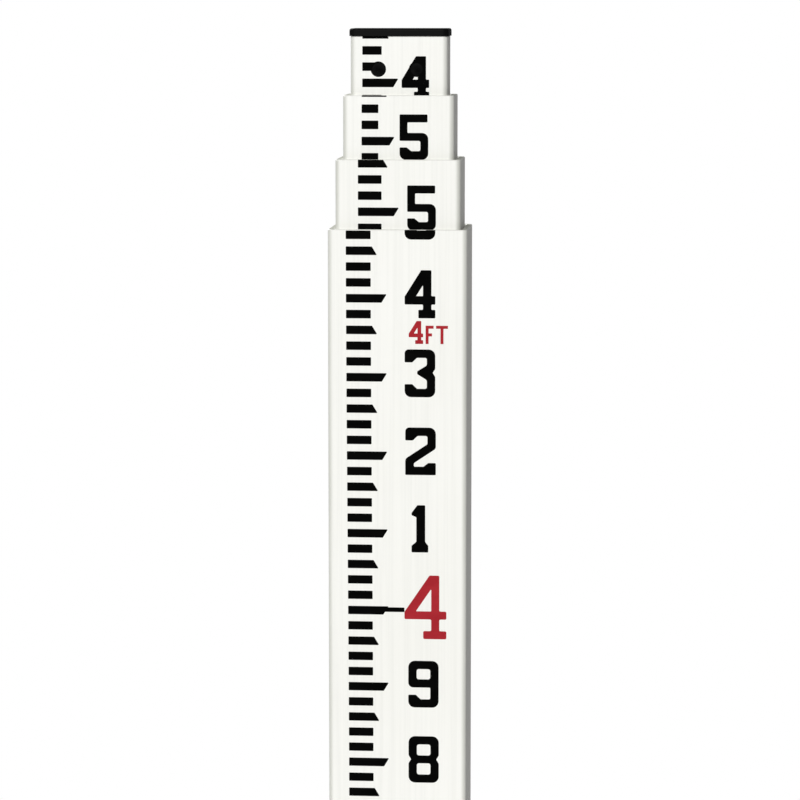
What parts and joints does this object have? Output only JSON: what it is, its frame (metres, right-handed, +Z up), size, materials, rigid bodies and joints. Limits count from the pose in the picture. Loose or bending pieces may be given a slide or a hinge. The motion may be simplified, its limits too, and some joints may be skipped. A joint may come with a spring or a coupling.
{
  "type": "levelling staff",
  "caption": "Telescoping rectangular glass-fibre levelling staff, closed, with a printed foot scale, end cap, shod foot and spring-button locks that hold each section out.",
  "frame": {"origin": "centre of the foot's underside, which is the zero of the scale", "axes": "+Z up the staff, -Y out of the graduated front, +Y out of the back with the lock buttons"},
  "size_m": [0.056, 0.0386, 1.4432],
  "materials": {
    "fibreglass": "satin gelcoat over glass fibre",
    "black_plastic": "moulded, fine texture",
    "rubber": "matte",
    "steel": "brushed",
    "black_rivet": "black enamel",
    "rivet_metal": "plain",
    "brass": "turned"
  },
  "bodies": {
    "outer_section": {"outer_tube": "fibreglass", "base_shoe": "black_plastic", "shoe_wear_plate": "steel", "wear_plate_screws": "steel", "shoe_rivets": "rivet_metal", "base_bumper": "rubber"},
    "second_section": {"second_tube": "fibreglass", "second_plug": "black_plastic", "second_plug_rivets": "rivet_metal", "second_button_spring": "steel", "second_bumper": "rubber"},
    "third_section": {"third_tube": "fibreglass", "third_plug": "black_plastic", "third_plug_rivets": "rivet_metal", "third_button_spring": "steel", "third_bumper": "rubber"},
    "fourth_section": {"fourth_tube": "fibreglass", "fourth_plug": "black_plastic", "fourth_plug_rivets": "rivet_metal", "fourth_button_spring": "steel", "top_cap": "black_plastic", "cap_rivets": "black_rivet"},
    "second_button": {"second_lock_button": "brass"},
    "third_button": {"third_lock_button": "brass"},
    "fourth_button": {"fourth_lock_button": "brass"}
  },
  "joints": [
    {"name": "second_section_slide", "type": "slide", "parent": "outer_section", "child": "second_section", "axis": [0, 0, 1], "range_m": [0, 1.2162]},
    {"name": "third_section_slide", "type": "slide", "parent": "second_section", "child": "third_section", "axis": [0, 0, 1], "range_m": [0, 1.1922]},
    {"name": "fourth_section_slide", "type": "slide", "parent": "third_section", "child": "fourth_section", "axis": [0, 0, 1], "range_m": [0, 1.1665]},
    {"name": "second_button_press", "type": "slide", "parent": "second_section", "child": "second_button", "axis": [0, 1, 0], "range_m": [0, 0.0016], "stiffness_N_per_m": 800, "springref_m": 0.004, "deforming": ["second_button_spring"]},
    {"name": "third_button_press", "type": "slide", "parent": "third_section", "child": "third_button", "axis": [0, 1, 0], "range_m": [0, 0.0016], "stiffness_N_per_m": 800, "springref_m": 0.004, "deforming": ["third_button_spring"]},
    {"name": "fourth_button_press", "type": "slide", "parent": "fourth_section", "child": "fourth_button", "axis": [0, 1, 0], "range_m": [0, 0.0016], "stiffness_N_per_m": 800, "springref_m": 0.004, "deforming": ["fourth_button_spring"]}
  ]
}
